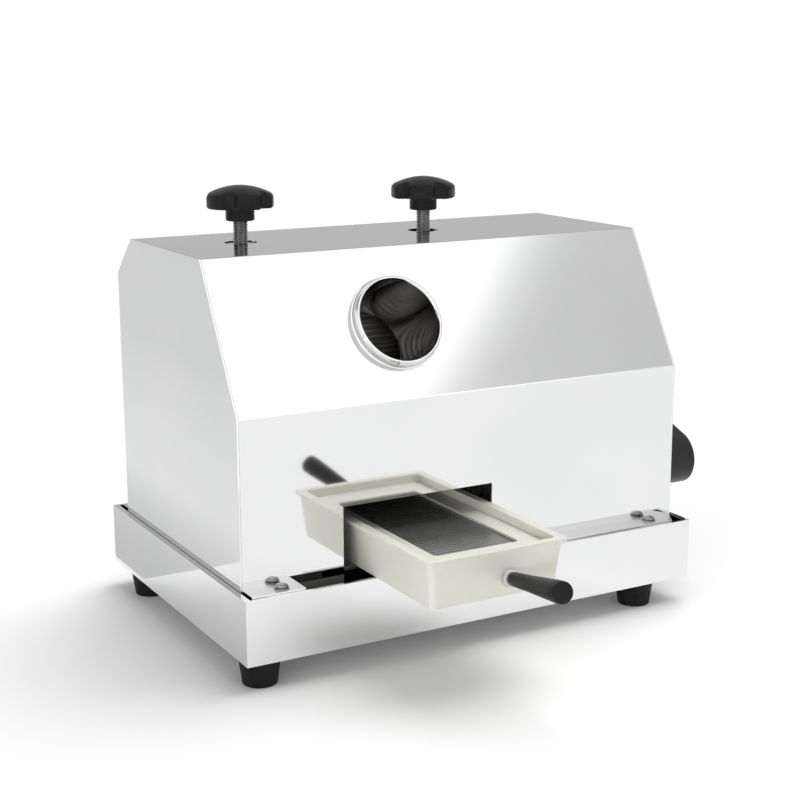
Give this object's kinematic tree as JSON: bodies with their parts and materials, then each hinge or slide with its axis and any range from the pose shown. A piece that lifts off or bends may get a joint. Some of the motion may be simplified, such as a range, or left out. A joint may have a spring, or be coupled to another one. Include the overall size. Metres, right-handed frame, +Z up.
{
  "type": "manual sugarcane juicer",
  "caption": "Hand-cranked table-top sugarcane juicer: stainless casing on a drip pan, fluted rollers, feed inlet, pressure screws with star knobs and a juice drawer with a filter.",
  "frame": {"origin": "on the floor under the middle of the whole machine, crank and tray handle included", "axes": "+Z up, +X towards the crank, +Y towards the back where the crushed cane leaves"},
  "size_m": [0.5368, 0.4596, 0.3549],
  "materials": {
    "polished_sheet": "mirror-polished stainless steel sheet, not plated",
    "frame_steel": "ground stainless plate and bar",
    "turned_steel": "turned stainless steel",
    "fasteners": "plain stainless fasteners",
    "gear_steel": "cut gear steel, lightly greased",
    "bronze": "turned bearing bronze",
    "black_enamel": "black enamel on cast iron",
    "knob_plastic": "moulded black, satin gloss",
    "grip_plastic": "moulded black, smooth",
    "foot_rubber": "moulded black rubber",
    "tray_plastic": "ivory moulding, fine grain",
    "screen_steel": "dark slotted steel"
  },
  "bodies": {
    "frame": {"base_pan": "polished_sheet", "cover_front": "polished_sheet", "cover_hood": "polished_sheet", "cover_back": "polished_sheet", "cover_side_left": "polished_sheet", "cover_side_right": "polished_sheet", "feed_tube": "polished_sheet", "bagasse_chute": "polished_sheet", "left_side_plate": "frame_steel", "right_side_plate": "frame_steel", "gear_plate": "frame_steel", "gear_plate_pillars": "frame_steel", "tie_bars": "frame_steel", "bridges": "frame_steel", "turner_plate": "frame_steel", "tray_runners": "frame_steel", "crank_bearing_housing": "frame_steel", "flange_brackets": "frame_steel", "foot_screws": "fasteners", "frame_bolts": "fasteners", "cover_screws": "fasteners", "frame_nuts": "fasteners", "bridge_bolts": "fasteners", "turner_bolts": "fasteners", "roller_bushes": "bronze", "crank_bushes": "bronze", "rubber_feet": "foot_rubber"},
    "tray": {"juice_tray": "tray_plastic", "filter_frame": "tray_plastic", "filter_screen": "screen_steel", "handle_ferrule": "turned_steel", "tray_grip": "grip_plastic"},
    "crank": {"crankshaft": "turned_steel", "crank_pinion": "gear_steel", "crank_arm": "black_enamel", "crank_bolt": "fasteners", "grip_spindle": "turned_steel"},
    "crank_grip": {"crank_grip": "grip_plastic"},
    "front_roller": {"front_roller": "turned_steel", "front_gear": "gear_steel", "drive_wheel": "gear_steel", "front_shaft_nut": "fasteners", "front_shaft_collar": "turned_steel"},
    "rear_roller": {"rear_roller": "turned_steel", "rear_gear": "gear_steel", "rear_shaft_nut": "fasteners", "rear_shaft_collar": "turned_steel"},
    "top_carriage": {"left_bearing_block": "frame_steel", "right_bearing_block": "frame_steel", "keeper_plates": "frame_steel", "block_bushes": "bronze"},
    "top_roller": {"top_roller": "turned_steel", "top_gear": "gear_steel", "top_shaft_nut": "fasteners", "top_shaft_collar": "turned_steel"},
    "left_knob": {"left_star_knob": "knob_plastic", "left_pressure_screw": "turned_steel"},
    "right_knob": {"right_star_knob": "knob_plastic", "right_pressure_screw": "turned_steel"}
  },
  "joints": [
    {"name": "tray_slide", "type": "slide", "parent": "frame", "child": "tray", "axis": [0, -1, 0], "range_m": [0, 0.15]},
    {"name": "crank_turn", "type": "hinge", "parent": "frame", "child": "crank", "pos_m": [-0.06445, 0.00679, 0.10714], "axis": [1, 0, 0], "continuous": true},
    {"name": "grip_spin", "type": "hinge", "parent": "crank", "child": "crank_grip", "pos_m": [0.22255, 0.18182, 0.18107], "axis": [1, 0, 0], "continuous": true},
    {"name": "front_roller_turn", "type": "hinge", "parent": "frame", "child": "front_roller", "pos_m": [-0.11145, 0.06979, 0.1769], "axis": [1, 0, 0], "continuous": true},
    {"name": "rear_roller_turn", "type": "hinge", "parent": "frame", "child": "rear_roller", "pos_m": [-0.11145, 0.13979, 0.1769], "axis": [1, 0, 0], "continuous": true},
    {"name": "top_carriage_lift", "type": "slide", "parent": "frame", "child": "top_carriage", "axis": [0, 0, 1], "range_m": [0, 0.00525]},
    {"name": "top_roller_turn", "type": "hinge", "parent": "top_carriage", "child": "top_roller", "pos_m": [-0.11145, 0.10479, 0.22563], "axis": [1, 0, 0], "continuous": true},
    {"name": "left_knob_turn", "type": "hinge", "parent": "top_carriage", "child": "left_knob", "pos_m": [-0.19545, 0.10479, 0.3], "axis": [0, 0, 1], "range_deg": [0, 1080]},
    {"name": "right_knob_turn", "type": "hinge", "parent": "top_carriage", "child": "right_knob", "pos_m": [-0.02745, 0.10479, 0.3], "axis": [0, 0, 1], "range_deg": [0, 1080]}
  ],
  "couplings": [
    {"joint": "front_roller_turn", "follows": "crank_turn", "ratio": -0.46875},
    {"joint": "top_roller_turn", "follows": "crank_turn", "ratio": 0.46875},
    {"joint": "rear_roller_turn", "follows": "crank_turn", "ratio": -0.46875},
    {"joint": "left_knob_turn", "follows": "top_carriage_lift", "rad_per_m": 3590.4},
    {"joint": "right_knob_turn", "follows": "top_carriage_lift", "rad_per_m": 3590.4}
  ]
}
